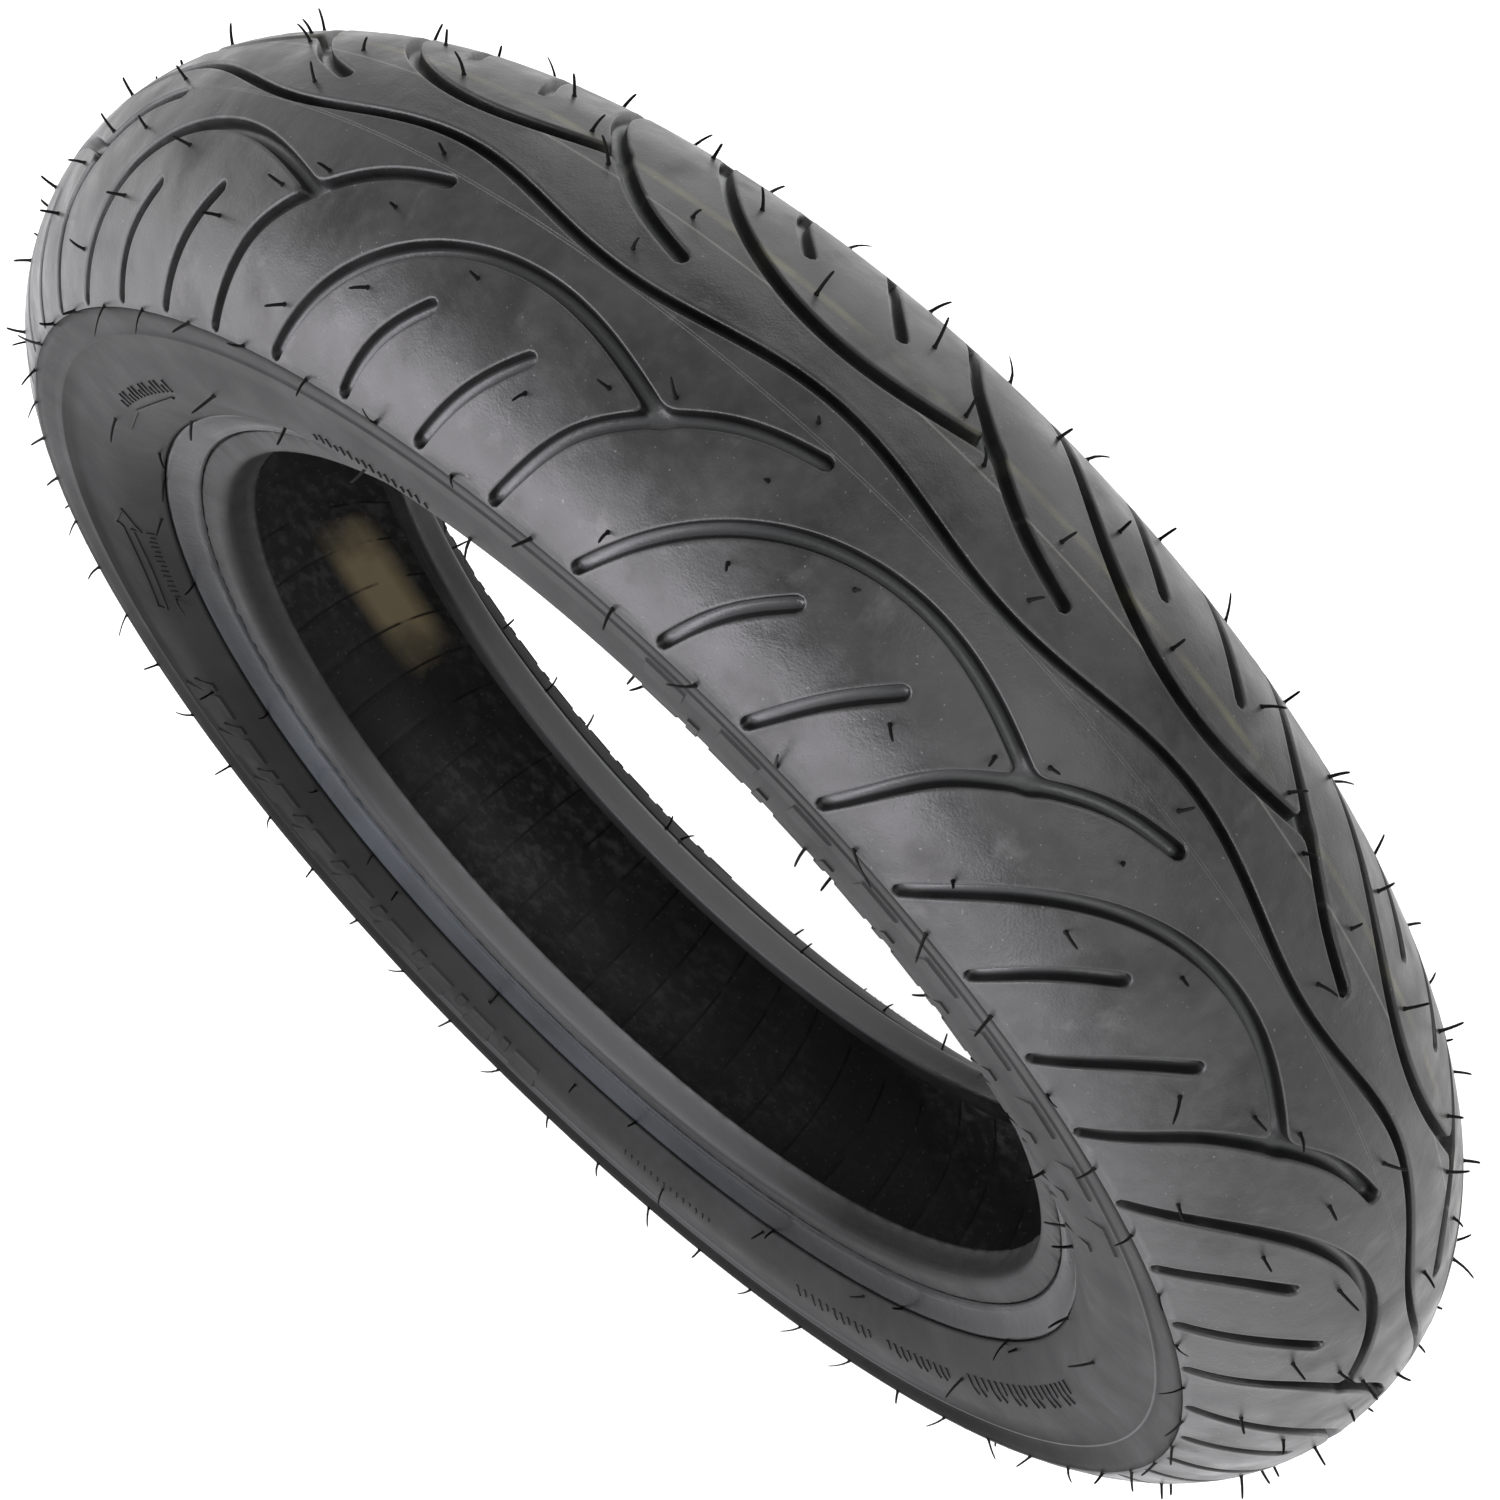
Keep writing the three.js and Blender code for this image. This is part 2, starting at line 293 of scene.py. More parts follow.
def tread_tile():
    """One pitch of the tread surface: its places, their depths, and its triangles."""
    lines = groove_lines()
    xs = np.linspace(0, PITCH, FIELD_COLUMNS + 1)
    ys = np.linspace(-SHOULDER, SHOULDER, FIELD_ROWS + 1)
    grid = np.stack(np.meshgrid(xs, ys, indexing="ij"), axis=-1).reshape(-1, 2)
    field = groove_distance(grid, lines).reshape(FIELD_COLUMNS + 1, FIELD_ROWS + 1)
    field[-1] = field[0]

    places, depths, edges = [], [], []
    for level, depth in GROOVE_SECTION:
        for chain, closed in contours(field, xs, ys, level):
            spread = evenly(chain, closed, CONTOUR_SPACING)
            first = len(places)
            places += spread.tolist()
            depths += [depth] * len(spread)
            edges += [(first + i, first + i + 1) for i in range(len(spread) - 1)]
            if closed:
                edges.append((first + len(spread) - 1, first))

    edge_rounds = np.linspace(0, PITCH, round(PITCH / OPEN_SPACING) + 1)
    edge_acrosses = np.linspace(-SHOULDER, SHOULDER, round(2 * SHOULDER / OPEN_SPACING) + 1)[1:-1]
    margin = GROOVE_SECTION[0][0] + 0.6 * CONTOUR_SPACING
    inner = np.array(
        [
            (x + (OPEN_SPACING / 4 if k % 2 else -OPEN_SPACING / 4), y)
            for k, y in enumerate(edge_acrosses)
            for x in edge_rounds[1:-1]
        ]
    )
    inner = inner[groove_distance(inner, lines) > margin]
    seam = np.array([(0.0, y) for y in edge_acrosses])
    seam = seam[groove_distance(seam, lines) > margin]
    extra = [
        *inner.tolist(),
        *seam.tolist(),
        *(seam + [PITCH, 0]).tolist(),
        *((x, y) for x in edge_rounds for y in (-SHOULDER, SHOULDER)),
    ]
    places += extra
    depths += [0.0] * len(extra)

    made = delaunay_2d_cdt([Vector(p) for p in places], edges, [], 0, SAME_PLACE, True)
    flat = np.array([tuple(v) for v in made[0]])
    depth = np.array([depths[ids[0]] if ids else np.nan for ids in made[3]])
    missing = np.isnan(depth)
    if missing.any():
        levels = np.array(GROOVE_SECTION)[::-1]
        depth[missing] = np.interp(groove_distance(flat[missing], lines), levels[:, 0], levels[:, 1])
    return flat, depth, np.array([list(face) for face in made[2]])


def add_tread():
    """The tile set round the tire, its borders joined, with a closed back under it."""
    flat, depth, faces = tread_tile()
    sunk_share = depth / GROOVE_SECTION[-1][1]
    at_start = np.flatnonzero(flat[:, 0] < ON_BORDER)
    at_end = np.flatnonzero(flat[:, 0] > PITCH - ON_BORDER)
    at_start = at_start[np.argsort(flat[at_start, 1])]
    at_end = at_end[np.argsort(flat[at_end, 1])]
    kept = np.setdiff1d(np.arange(len(flat)), at_end)
    number = np.full(len(flat), -1)
    number[kept] = np.arange(len(kept))
    per_tile = len(kept)
    depth = depth * np.interp(np.abs(flat[:, 1]), [FULL_DEPTH_ACROSS, SHOULDER], [1, SHALLOW_SHARE])

    top_low = kept[np.abs(flat[kept, 1] + SHOULDER) < ON_BORDER]
    top_high = kept[np.abs(flat[kept, 1] - SHOULDER) < ON_BORDER]
    top_low = top_low[np.argsort(flat[top_low, 0])]
    top_high = top_high[np.argsort(flat[top_high, 0])]
    rounds = flat[top_low, 0]

    points, all_faces, uvs = [], [], []
    for tile in range(PITCHES):
        onto = number.copy() + tile * per_tile
        onto[at_end] = number[at_start] + ((tile + 1) % PITCHES) * per_tile
        points.append(tread_points(flat[kept, 0] + tile * PITCH, flat[kept, 1], depth[kept]))
        all_faces += onto[faces].tolist()
        uv = flat[faces].reshape(-1, 2) + [tile * PITCH, 0]
        uvs.append(uv * MM)
    base = PITCHES * per_tile
    columns = PITCHES * len(rounds)
    turns = np.concatenate([rounds + tile * PITCH for tile in range(PITCHES)])
    for across in np.linspace(-SHOULDER, SHOULDER, UNDERSIDE_ROWS):
        points.append(tread_points(turns, across, TREAD_THICKNESS))
    # Rows of the closed back: the left edge of the surface, the underside, and the right edge.
    row_low = np.concatenate([number[top_low] + tile * per_tile for tile in range(PITCHES)])
    row_high = np.concatenate([number[top_high] + tile * per_tile for tile in range(PITCHES)])
    underside = [base + k * columns + np.arange(columns) for k in range(UNDERSIDE_ROWS)]
    rows = [row_low, *underside, row_high]
    back_uv = []
    for a, b in zip(rows, rows[1:]):
        for i in range(columns):
            j = (i + 1) % columns
            all_faces.append([a[i], b[i], b[j], a[j]])
            back_uv += [(turns[i] * MM, UNPAINTED_ACROSS)] * 4
    uvs.append(np.array(back_uv))
    tread = add_object("tread", np.vstack(points), all_faces, np.vstack(uvs))
    shade = tread.data.attributes.new("depth", "FLOAT", "POINT")
    sunk = np.zeros(len(tread.data.vertices))
    sunk[:base] = np.tile(sunk_share[kept], PITCHES)
    shade.data.foreach_set("value", sunk)
    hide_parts("tread_cap")
    return tread


# ---- Sidewalls, beads and liner ------------------------------------------------------------------
# Outer face of one side, from the tread's edge to the line where the rim flange ends.
SIDE_FACE = [
    (229.1, 54.75), (226, 54.5), (222.5, 53.9), (219.8, 53.3), (219.5, 53.75), (218.9, 53.75), (218.6, 53.15),
    (212, 53.05), (204, 53), (200, 52.75), (195, 51.3), (189.7, 47.9), (185.6, 45.3), (184.8, 44.6),
]
SIDE_BACK = [(185.4, 43.2), (201, 50.2), (214.5, 49.9), (223.6, 46.6)]
STRIP_FACE = [
    (184.35, 44.0), (183.6, 43.55), (182, 42.3), (180, 41.0), (178, 40.0), (176.4, 39.35),
    (175.9, 39.55), (175.5, 39.5), (175.3, 38.9), (174.9, 38.6),
]
STRIP_BACK = [(175, 37.4), (177.4, 37.4), (184.6, 41.2)]
# The bead from the flat side face round the heel, under the seat, and up inside from the toe.
BEAD_FACE = [
    (174.5, 38.35), (173.9, 38.4), (171, 38.4), (168.6, 38.35), (167.3, 38.0), (166.2, 37.2), (165.5, 36.0),
    (165.1, 34.4), (164.3, 31.2), (163.6, 29.0), (163.1, 28.2), (163.0, 27.6), (163.5, 27.4), (164.6, 27.8),
    (170, 27.9), (174.9, 28), (179.8, 31.1),
]
BEAD_BACK = [(179.2, 31.9), (176.5, 30), (166.8, 30), (166.8, 37.3), (174.4, 37.3)]
HEEL_FLASH, FLASH_WIDTH = 174.0, 0.45  # radius and half width of the ragged line on the bead's side face
TOE_RADIUS, TOE_Y = 163.8, 28.4  # the bead's toe lies inside this radius and nearer the middle than this
STRIP_RIDGE, RIDGE_WIDTH = 175.7, 0.3  # radius and half width of the fine ridge at the foot of the rim strip
LINER_OUTSIDE, LINER_INSIDE = 12.7, 14.8  # depths of the liner's two faces below the tread's surface
LINER_ARC = 64  # degrees to each side of the centre line over which the liner follows the crown
VENT_LINES = 78  # moulded lines across the liner
LINER_STEPS = 12 * VENT_LINES


def ripple(turn, counts, seed):
    """An uneven wave round the tire, from -1 to 1, that meets itself after one turn."""
    rng = random.Random(seed)
    total = np.zeros_like(turn)
    for count in counts:
        total += np.sin(count * turn + rng.uniform(0, 2 * math.pi)) / len(counts)
    return total


def bead_warp(radius, y, turn):
    """Rubber flash: a ragged line on the side face, and scallops along the toe."""
    ragged = ripple(turn, (61, 97, 143, 211), 3)
    sign = np.sign(y)
    on_line = np.exp(-(((radius - HEEL_FLASH) / FLASH_WIDTH) ** 2)) * (np.abs(y) > 38)
    patch = 0.35 + 0.65 * np.clip(ripple(turn, (1, 2), 8) + 0.4, 0, 1)
    out = y + sign * on_line * patch * (0.55 + 0.75 * ragged)
    toe = np.clip((TOE_Y - np.abs(y)) / 0.8, 0, 1) * (radius < TOE_RADIUS)
    scallops = 0.4 * np.abs(ripple(turn, (45, 53), 5)) + 0.25 * ragged
    return radius - toe * scallops, out


def strip_warp(radius, y, turn):
    """The fine ridge at the foot of the strip fades in and out round the tire."""
    ridge = np.exp(-(((radius - STRIP_RIDGE) / RIDGE_WIDTH) ** 2)) * (np.abs(y) > 39.2)
    return radius, y + np.sign(y) * 0.25 * ridge * ripple(turn, (2, 5, 37), 11)


def on_side(points, side):
    return [(radius, side * y) for radius, y in points]


def add_side_rings(side, name):
    wall = add_ring(f"{name}_sidewall_rubber", on_side(SIDE_FACE + SIDE_BACK, side))
    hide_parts(f"{name}_sidewall")
    strip = add_ring(f"{name}_rim_strip_rubber", on_side(STRIP_FACE + STRIP_BACK, side), strip_warp)
    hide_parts(f"{name}_rim_strip")
    bead = add_ring(f"{name}_bead_rubber", on_side(BEAD_FACE + BEAD_BACK, side), bead_warp, 2 * RING_STEPS)
    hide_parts(f"{name}_chafer")
    return wall, strip, bead


def liner_warp(radius, y, turn):
    """Low ridges across the liner where the moulding bladder was vented."""
    phase = np.abs((turn * VENT_LINES / (2 * math.pi) + 0.5) % 1 - 0.5)
    ridge = np.clip(1 - phase / 0.06, 0, 1) * (radius > 205)
    return radius - 0.4 * ridge, y


def add_liner():
    angles = np.radians(np.linspace(-LINER_ARC, LINER_ARC, 33))
    half_out = [(213.0, 47.4), (201.9, 47.5), (180.3, 32.6)]
    half_in = [(212.4, 46.0), (202.6, 46.2), (181.0, 31.4)]

    def arc(depth):
        reach = CROWN_RADIUS - depth
        return [(CROWN_CENTRE + reach * math.cos(a), reach * math.sin(a)) for a in angles]

    def full(depth, half):
        return [*on_side(half, -1)[::-1], *arc(depth), *half]

    profile = full(LINER_OUTSIDE, half_out) + full(LINER_INSIDE, half_in)[::-1]
    liner = add_ring("liner_rubber", profile, liner_warp, LINER_STEPS)
    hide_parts("inner_liner")
    return liner


# ---- Raised marks on the sidewalls ---------------------------------------------------------------
def side_y(radius):
    """How far the sidewall's face stands from the centre plane at a radius."""
    face = np.array(SIDE_FACE[3:])[::-1]
    return np.interp(radius, face[:, 0], face[:, 1])


def clock(degrees):
    """Turn for an angle measured from +X toward +Z."""
    return math.radians(90 - degrees)


MARK_ROOT = 0.4  # how far the marks reach into the sidewall, so that no gap shows under them
STROKE_SPACING = 3
# A stroke's section, as shares of its width and whether each corner is raised.
STROKE_SECTION = [(-0.5, False), (-0.42, True), (0.42, True), (0.5, False)]


class Marks:
    """Raised strokes gathered into one mesh. Places are (degrees from +X toward +Z, radius)."""

    def __init__(self, side):
        self.side = side
        self.points = []
        self.faces = []

    def stroke(self, places, width, height=0.5):
        """A raised line along straight stretches between the places."""
        degrees, radii = np.array(places, float).T
        path = np.stack([radii * np.cos(np.radians(degrees)), radii * np.sin(np.radians(degrees))], axis=1)
        samples = [path[0]]
        for a, b in zip(path, path[1:]):
            count = max(1, round(np.linalg.norm(b - a) / STROKE_SPACING))
            samples += [a + (b - a) * (k + 1) / count for k in range(count)]
        samples = np.array(samples)
        along = np.gradient(samples, axis=0)
        along /= np.linalg.norm(along, axis=1)[:, None]
        across = np.stack([-along[:, 1], along[:, 0]], axis=1)
        first = len(self.points)
        for middle, sideways in zip(samples, across):
            for reach, raised in STROKE_SECTION:
                x, z = middle + sideways * width * reach
                y = side_y(math.hypot(x, z)) + (height if raised else -MARK_ROOT)
                self.points.append((x * MM, self.side * y * MM, z * MM))
        count = len(samples)
        flip = self.side > 0
        for i in range(count - 1):
            for j in range(4):
                k = (j + 1) % 4
                a = first + 4 * i
                face = [a + j, a + 4 + j, a + 4 + k, a + k]
                self.faces.append(face[::-1] if flip else face)
        ends = [[first + 3, first + 2, first + 1, first], [first + 4 * count - 4 + j for j in range(4)]]
        self.faces += [face[::-1] if flip else face for face in ends]

    def slab(self, start, end, low, high, height):
        """A raised four-sided block with sloping edges."""
        corners = ((start, low), (start, high), (end, high), (end, low))
        centre = np.array([(start + end) / 2, (low + high) / 2])
        first = len(self.points)
        for up, shrink in ((-MARK_ROOT, 1.0), (height, 0.9)):
            for corner in corners:
                degrees, radius = centre + (np.array(corner) - centre) * shrink
                x = radius * math.cos(math.radians(degrees))
                z = radius * math.sin(math.radians(degrees))
                self.points.append((x * MM, self.side * (side_y(radius) + up) * MM, z * MM))
        faces = []
        for k in range(4):
            onward = (k + 1) % 4
            faces.append([first + k, first + onward, first + 4 + onward, first + 4 + k])
        faces += [[first + 3 - k for k in range(4)], [first + 4 + k for k in range(4)]]
        turned_round = (end < start) == (self.side < 0)
        self.faces += [face[::-1] if turned_round else face for face in faces]

    def bars(self, start, end, count, low, high, width):
        """A row of short plain bars, in place of lettering."""
        for k in range(count):
            at = start + (end - start) * (k + 0.5) / count
            top = high if k % 3 else (low + high) / 2 + 0.5
            self.stroke([(at, low), (at, top)], width, 0.45)

    def arrow(self, tail, head, low, high, width):
        """An outlined arrow that shows the rolling direction."""
        neck = head + (tail - head) * 0.2
        middle = (low + high) / 2
        shaft_low, shaft_high = middle - (high - low) / 5, middle + (high - low) / 5
        self.stroke([(neck, shaft_low), (tail, shaft_low), (tail, shaft_high), (neck, shaft_high)], width)
        self.stroke([(neck, shaft_high), (neck, high), (head, middle), (neck, low), (neck, shaft_low)], width)


SLABS, SLAB_START, SLAB_STEP = 9, 260, 6.4  # how many pairs of raised slabs, and their places in degrees
WIDE_SLAB, NARROW_SLAB = (0, -3.6, 195, 216), (-4.3, -5.4, 195, 205)  # [start, end, inner, outer radius]
SLAB_SETS = [(0, 0.8), (180, 0.5)]  # where each set of slabs starts, in degrees, and how high it stands
UNDERLINE = [(154, 195), (148, 196.5), (137, 196.5)]
# Rows of bars: [first degrees, last degrees, how many, inner radius, outer radius, width].
MARK_BARS = [
    (190, 178, 14, 190.2, 192.4, 0.5),
    (149, 135, 14, 199, 203.5, 0.9),
    (113, 100, 16, 199.5, 202.5, 0.6),
    (349, 325, 18, 196, 204, 1.2),
    (322, 311, 10, 197, 203, 1.0),
    (309, 297, 11, 197, 202, 0.9),
    (285, 272, 14, 196, 198.5, 0.5),
]


def add_marks(side, name):
    marks = Marks(side)
    turned = 0 if side < 0 else 180
    for k in range(SLABS):
        for half, height in SLAB_SETS:
            at = SLAB_START - SLAB_STEP * k + turned + half
            for start, end, low, high in (WIDE_SLAB, NARROW_SLAB):
                marks.slab(at + start, at + end, low, high, height)
    marks.arrow(192 + turned, 175 + turned, 194, 203, 1.3)
    marks.stroke([(degrees + turned, radius) for degrees, radius in UNDERLINE], 0.9)
    for start, end, count, low, high, width in MARK_BARS:
        marks.bars(start + turned, end + turned, count, low, high, width)
    thing = add_object(f"{name}_sidewall_marks", marks.points, marks.faces, smooth=False)
    return thing


# ---- Moulding hairs ------------------------------------------------------------------------------
HAIR_SIDES = 6
# Sections of a hair: [share of its length, radius]. It is thickest where it leaves the rubber.
HAIR_SECTIONS = [
    (-0.06, 0.8), (0.03, 0.62), (0.12, 0.47), (0.45, 0.43), (0.7, 0.4), (0.9, 0.36), (1.0, 0.24),
]


class Hairs:
    """Thin rubber hairs left by the mould's vents, gathered into one mesh."""

    def __init__(self, seed):
        self.rng = random.Random(seed)
        self.points = []
        self.faces = []

    def grow(self, root, normal, length, lean=0.35):
        rng = self.rng
        normal = Vector(normal).normalized()
        side = normal.orthogonal().normalized()
        side.rotate(Matrix.Rotation(rng.uniform(0, 2 * math.pi), 3, normal))
        tilt = rng.uniform(0.05, lean)
        curl = rng.uniform(0.0, lean)
        length = length * rng.uniform(0.8, 1.2)
        other = normal.cross(side)
        first = len(self.points)
        for share, thick in HAIR_SECTIONS:
            bend = tilt * share + curl * share * share
            middle = Vector(root) + (normal * share + side * bend) * length * MM
            for k in range(HAIR_SIDES):
                angle = 2 * math.pi * k / HAIR_SIDES
                self.points.append(middle + (side * math.cos(angle) + other * math.sin(angle)) * thick * MM)
        last = first + (len(HAIR_SECTIONS) - 1) * HAIR_SIDES
        for a in range(first, last, HAIR_SIDES):
            b = a + HAIR_SIDES
            for k in range(HAIR_SIDES):
                m = (k + 1) % HAIR_SIDES
                self.faces.append([a + k, a + m, b + m, b + k])
        self.faces.append([first + k for k in range(HAIR_SIDES)][::-1])
        self.faces.append([last + k for k in range(HAIR_SIDES)])

    def add(self, name):
        return add_object(name, self.points, self.faces)


def tread_normal(round_, across):
    angle = across / CROWN_RADIUS
    turn = PATTERN_START + round_ / OUTER_RADIUS
    return math.cos(angle) * math.sin(turn), math.sin(angle), math.cos(angle) * math.cos(turn)


# One pitch of the left half: [round, across, length] of each hair.
TREAD_HAIRS = [
    (-2.8, 39.5, 5), (60, 39.5, 4), (15, 27, 4), (28, 19.3, 5), (54, 20, 3), (88, 24.3, 5), (-5, -2.5, 4),
    (33, 53, 4),
]
TREAD_HAIR_SCALE = 1.15
SHOULDER_HAIRS = 4  # in each pitch, along each edge of the tread
SHOULDER_HAIR_START, SHOULDER_HAIR_LENGTH, SHOULDER_HAIR_LEAN = 14.5, 4.4, 1.0


def add_tread_hairs():
    hairs = Hairs(21)
    edge = Hairs(22)
    for tile in range(PITCHES):
        for side, shift in ((-1, 0), (1, PITCH / 2)):
            for round_, across, length in TREAD_HAIRS:
                at = (round_ + shift + tile * PITCH + hairs.rng.uniform(-2, 2), side * across)
                hairs.grow(tread_points(*at, 0), tread_normal(*at), TREAD_HAIR_SCALE * length)
            for k in range(SHOULDER_HAIRS):
                round_ = SHOULDER_HAIR_START + shift + (tile + k / SHOULDER_HAIRS) * PITCH
                at = (round_, side * (SHOULDER - 0.2))
                root, normal = tread_points(*at, 0), tread_normal(*at)
                edge.grow(root, normal, SHOULDER_HAIR_LENGTH, SHOULDER_HAIR_LEAN)
    return hairs.add("tread_hairs"), edge.add("shoulder_hairs")


# Hairs on one sidewall: [degrees from +X toward +Z, radius, length].
SIDE_HAIRS = [
    (338, 186.5, 3), (324, 199, 7), (308, 187, 3), (264, 189.5, 4), (251, 189.5, 6), (235, 187, 5),
    (220, 186.5, 5), (205, 199, 7), (190, 192, 5), (175, 187, 5), (159, 186.5, 5), (154, 200, 5),
    (127, 200, 6), (111, 187, 5), (96, 200, 5), (80, 187, 5), (64, 199, 5), (48, 187, 5), (32, 199, 5),
    (16, 187, 5), (0, 199, 6), (292, 187, 5), (278, 200, 5),
]
RIGHT_SIDE_TURN = 173  # degrees between a hair of the left sidewall and the same hair of the right one
RIM_LINE_HAIRS = 17
RIM_LINE_RADIUS, RIM_LINE_Y = 184.9, 44.6


def add_side_hairs(side, name):
    hairs = Hairs(31 + side)
    for degrees, radius, length in SIDE_HAIRS:
        turned = clock(degrees + (0 if side < 0 else RIGHT_SIDE_TURN))
        slope = side_y(radius + 0.5) - side_y(radius - 0.5)
        normal = (-slope * math.sin(turned), side, -slope * math.cos(turned))
        hairs.grow(ring_points(radius, side * side_y(radius), turned), normal, length, 0.6)
    for k in range(RIM_LINE_HAIRS):
        turned = 2 * math.pi * (k + 0.4) / RIM_LINE_HAIRS
        normal = (-0.55 * math.sin(turned), side * 0.8, -0.55 * math.cos(turned))
        hairs.grow(ring_points(RIM_LINE_RADIUS, side * RIM_LINE_Y, turned), normal, 5.5, 0.5)
    return hairs.add(f"{name}_sidewall_hairs")


# ---- Materials -----------------------------------------------------------------------------------
class Paint:
    """A procedural material built node by node."""

    def __init__(self, name, metallic=0.0, specular=0.5):
        self.material = bpy.data.materials.new(name)
        self.material.use_nodes = True
        self.nodes = self.material.node_tree.nodes
        self.links = self.material.node_tree.links
        self.shader = self.nodes["Principled BSDF"]
        self.shader.inputs["Metallic"].default_value = metallic
        self.shader.inputs["Specular IOR Level"].default_value = specular
        self.place = self.node("ShaderNodeTexCoord").outputs["Object"]

    def node(self, kind, settings=None, **inputs):
        """A new node. Its inputs are given by name, or by number as i0, i1 and so on."""
        made = self.nodes.new(kind)
        for key, value in (settings or {}).items():
            setattr(made, key, value)
        for key, value in inputs.items():
            self.plug(made.inputs[int(key[1:]) if key[0] == "i" and key[1:].isdigit() else key], value)
        return made

    def plug(self, socket, value):
        if isinstance(value, bpy.types.NodeSocket):
            self.links.new(value, socket)
        else:
            socket.default_value = value

    def noise(self, scale, detail=4.0, place=None, roughness=0.55):
        inputs = {"Vector": place or self.place, "Scale": scale, "Detail": detail, "Roughness": roughness}
        return self.node("ShaderNodeTexNoise", **inputs).outputs["Fac"]

    def stretched(self, x, y, z):
        made = self.node("ShaderNodeVectorMath", {"operation": "MULTIPLY"}, i0=self.place, i1=(x, y, z))
        return made.outputs[0]

    def scale(self, value, low, high, to_low=0.0, to_high=1.0):
        return self.node("ShaderNodeMapRange", i0=value, i1=low, i2=high, i3=to_low, i4=to_high).outputs[0]

    def math(self, operation, a, b=0.0):
        return self.node("ShaderNodeMath", {"operation": operation}, i0=a, i1=b).outputs[0]

    def times(self, a, b):
        return self.math("MULTIPLY", a, b)

    def mix(self, share, a, b):
        made = self.node("ShaderNodeMix", {"data_type": "RGBA"})
        self.plug(made.inputs[0], share)
        self.plug(made.inputs[6], a)
        self.plug(made.inputs[7], b)
        return made.outputs[2]

    def across(self):
        """[distance round, distance across] on pieces that carry it, in metres."""
        surface = self.node("ShaderNodeUVMap", {"uv_map": "UVMap"}).outputs[0]
        split = self.node("ShaderNodeSeparateXYZ", Vector=surface)
        return split.outputs[0], split.outputs[1]

    def radius(self):
        """Distance from the axle, in metres."""
        sideways = self.stretched(1, 0, 1)
        return self.node("ShaderNodeVectorMath", {"operation": "LENGTH"}, i0=sideways).outputs["Value"]

    def line(self, value, centre, half, soft):
        """1 on a line of that half width, fading out over a further distance."""
        away = self.math("ABSOLUTE", self.math("SUBTRACT", value, centre))
        return self.scale(away, half, half + soft, 1.0, 0.0)

    def finish(self, colour, roughness, height, distance=0.0004, strength=0.5):
        self.plug(self.shader.inputs["Base Color"], colour)
        self.plug(self.shader.inputs["Roughness"], roughness)
        bump = self.node("ShaderNodeBump", Height=height, Distance=distance, Strength=strength)
        self.plug(self.shader.inputs["Normal"], bump.outputs[0])
        return self.material


def grey(level, warm=0.0):
    """A linear colour from an sRGB grey level, a little warmer or cooler."""
    def linear(value):
        value = max(0.0, min(1.0, value / 255))
        return value / 12.92 if value <= 0.04045 else ((value + 0.055) / 1.055) ** 2.4
    return linear(level + warm), linear(level), linear(level - warm), 1.0


def rubber(name, dark, light, rough_low, rough_high, warm=0.0, detail=None, specular=0.5):
    """Mottled rubber between two grey levels. detail adds the marks of one kind of piece."""
    paint = Paint(name, specular=specular)
    mottle = paint.noise(30, 6)
    fine = paint.noise(240, 4)
    grain = paint.noise(1500, 2)
    colour = paint.mix(paint.scale(mottle, 0.32, 0.68), grey(dark, warm), grey(light, warm))
    colour = paint.mix(paint.scale(fine, 0.45, 0.75, 0.0, 0.35), colour, grey(light + 8, warm))
    height = paint.math("ADD", paint.times(grain, 0.35), paint.times(fine, 0.65))
    rough = paint.scale(paint.noise(60, 4), 0.3, 0.7, rough_low, rough_high)
    if detail is not None:
        colour, rough, height = detail(paint, colour, rough, height)
    return paint.finish(colour, rough, height)


def toward(paint, degrees, low, high):
    """0 to 1 as a place lies further from the axle in the direction measured from +X toward +Z."""
    split = paint.node("ShaderNodeSeparateXYZ", Vector=paint.place)
    angle = math.radians(degrees)
    reach = paint.math(
        "ADD",
        paint.times(split.outputs[0], math.cos(angle)),
        paint.times(split.outputs[2], math.sin(angle)),
    )
    return paint.scale(reach, low, high)


# Where paints change, as radii in metres, some of them for painted shade and painted highlights. A pair is
# where a change starts and ends.
FLAT_WALL_ENDS = (0.216, 0.221)
BULGE_STARTS = (0.2195, 0.2203)
STEP_HIGHLIGHT_RADIUS = 0.2193
HIGHLIGHT_STREAK_RADIUS = 0.2172
SEAT_ENDS = (0.1655, 0.1672)


def sidewall_detail(paint, colour, rough, height):
    """The low part of the wall is rougher and is painted dark: painted shade."""
    smear = paint.scale(paint.noise(16, 4), 0.3, 0.7, 0.7, 1.0)
    radius = paint.radius()
    flat_part = paint.scale(radius, *FLAT_WALL_ENDS, 1.0, 0.0)
    dull_and_shade = paint.times(paint.times(toward(paint, 212, 0.11, 0.19), smear), flat_part)
    cloudy = paint.scale(paint.noise(1.0, 5, paint.stretched(20, 20, 20)), 0.5, 0.72, 0.0, 0.4)
    colour = paint.mix(cloudy, colour, grey(50))
    # Painted shade: the low part of the flat wall is painted dark.
    colour = paint.mix(dull_and_shade, colour, grey(16))
    # Painted shade: the bulge outside the step is painted darker low down.
    bulge = paint.times(paint.scale(radius, *BULGE_STARTS), toward(paint, 268, 0.03, 0.15))
    colour = paint.mix(paint.times(bulge, 0.9), colour, grey(7))
    # Painted highlight: a pale streak just inside the step, low down.
    streak = paint.times(paint.line(radius, HIGHLIGHT_STREAK_RADIUS, 0.0006, 0.003), toward(paint, 276, 0.15, 0.215))
    colour = paint.mix(paint.times(streak, 0.55), colour, grey(74))
    # Painted highlight: a pale line along the step's edge.
    edge = paint.times(paint.line(radius, STEP_HIGHLIGHT_RADIUS, 0.00015, 0.0003), toward(paint, 320, -0.02, 0.18))
    colour = paint.mix(paint.times(edge, 0.3), colour, grey(110))
    rough = paint.math("ADD", rough, paint.times(paint.math("MAXIMUM", dull_and_shade, bulge), 0.35))
    return colour, rough, height


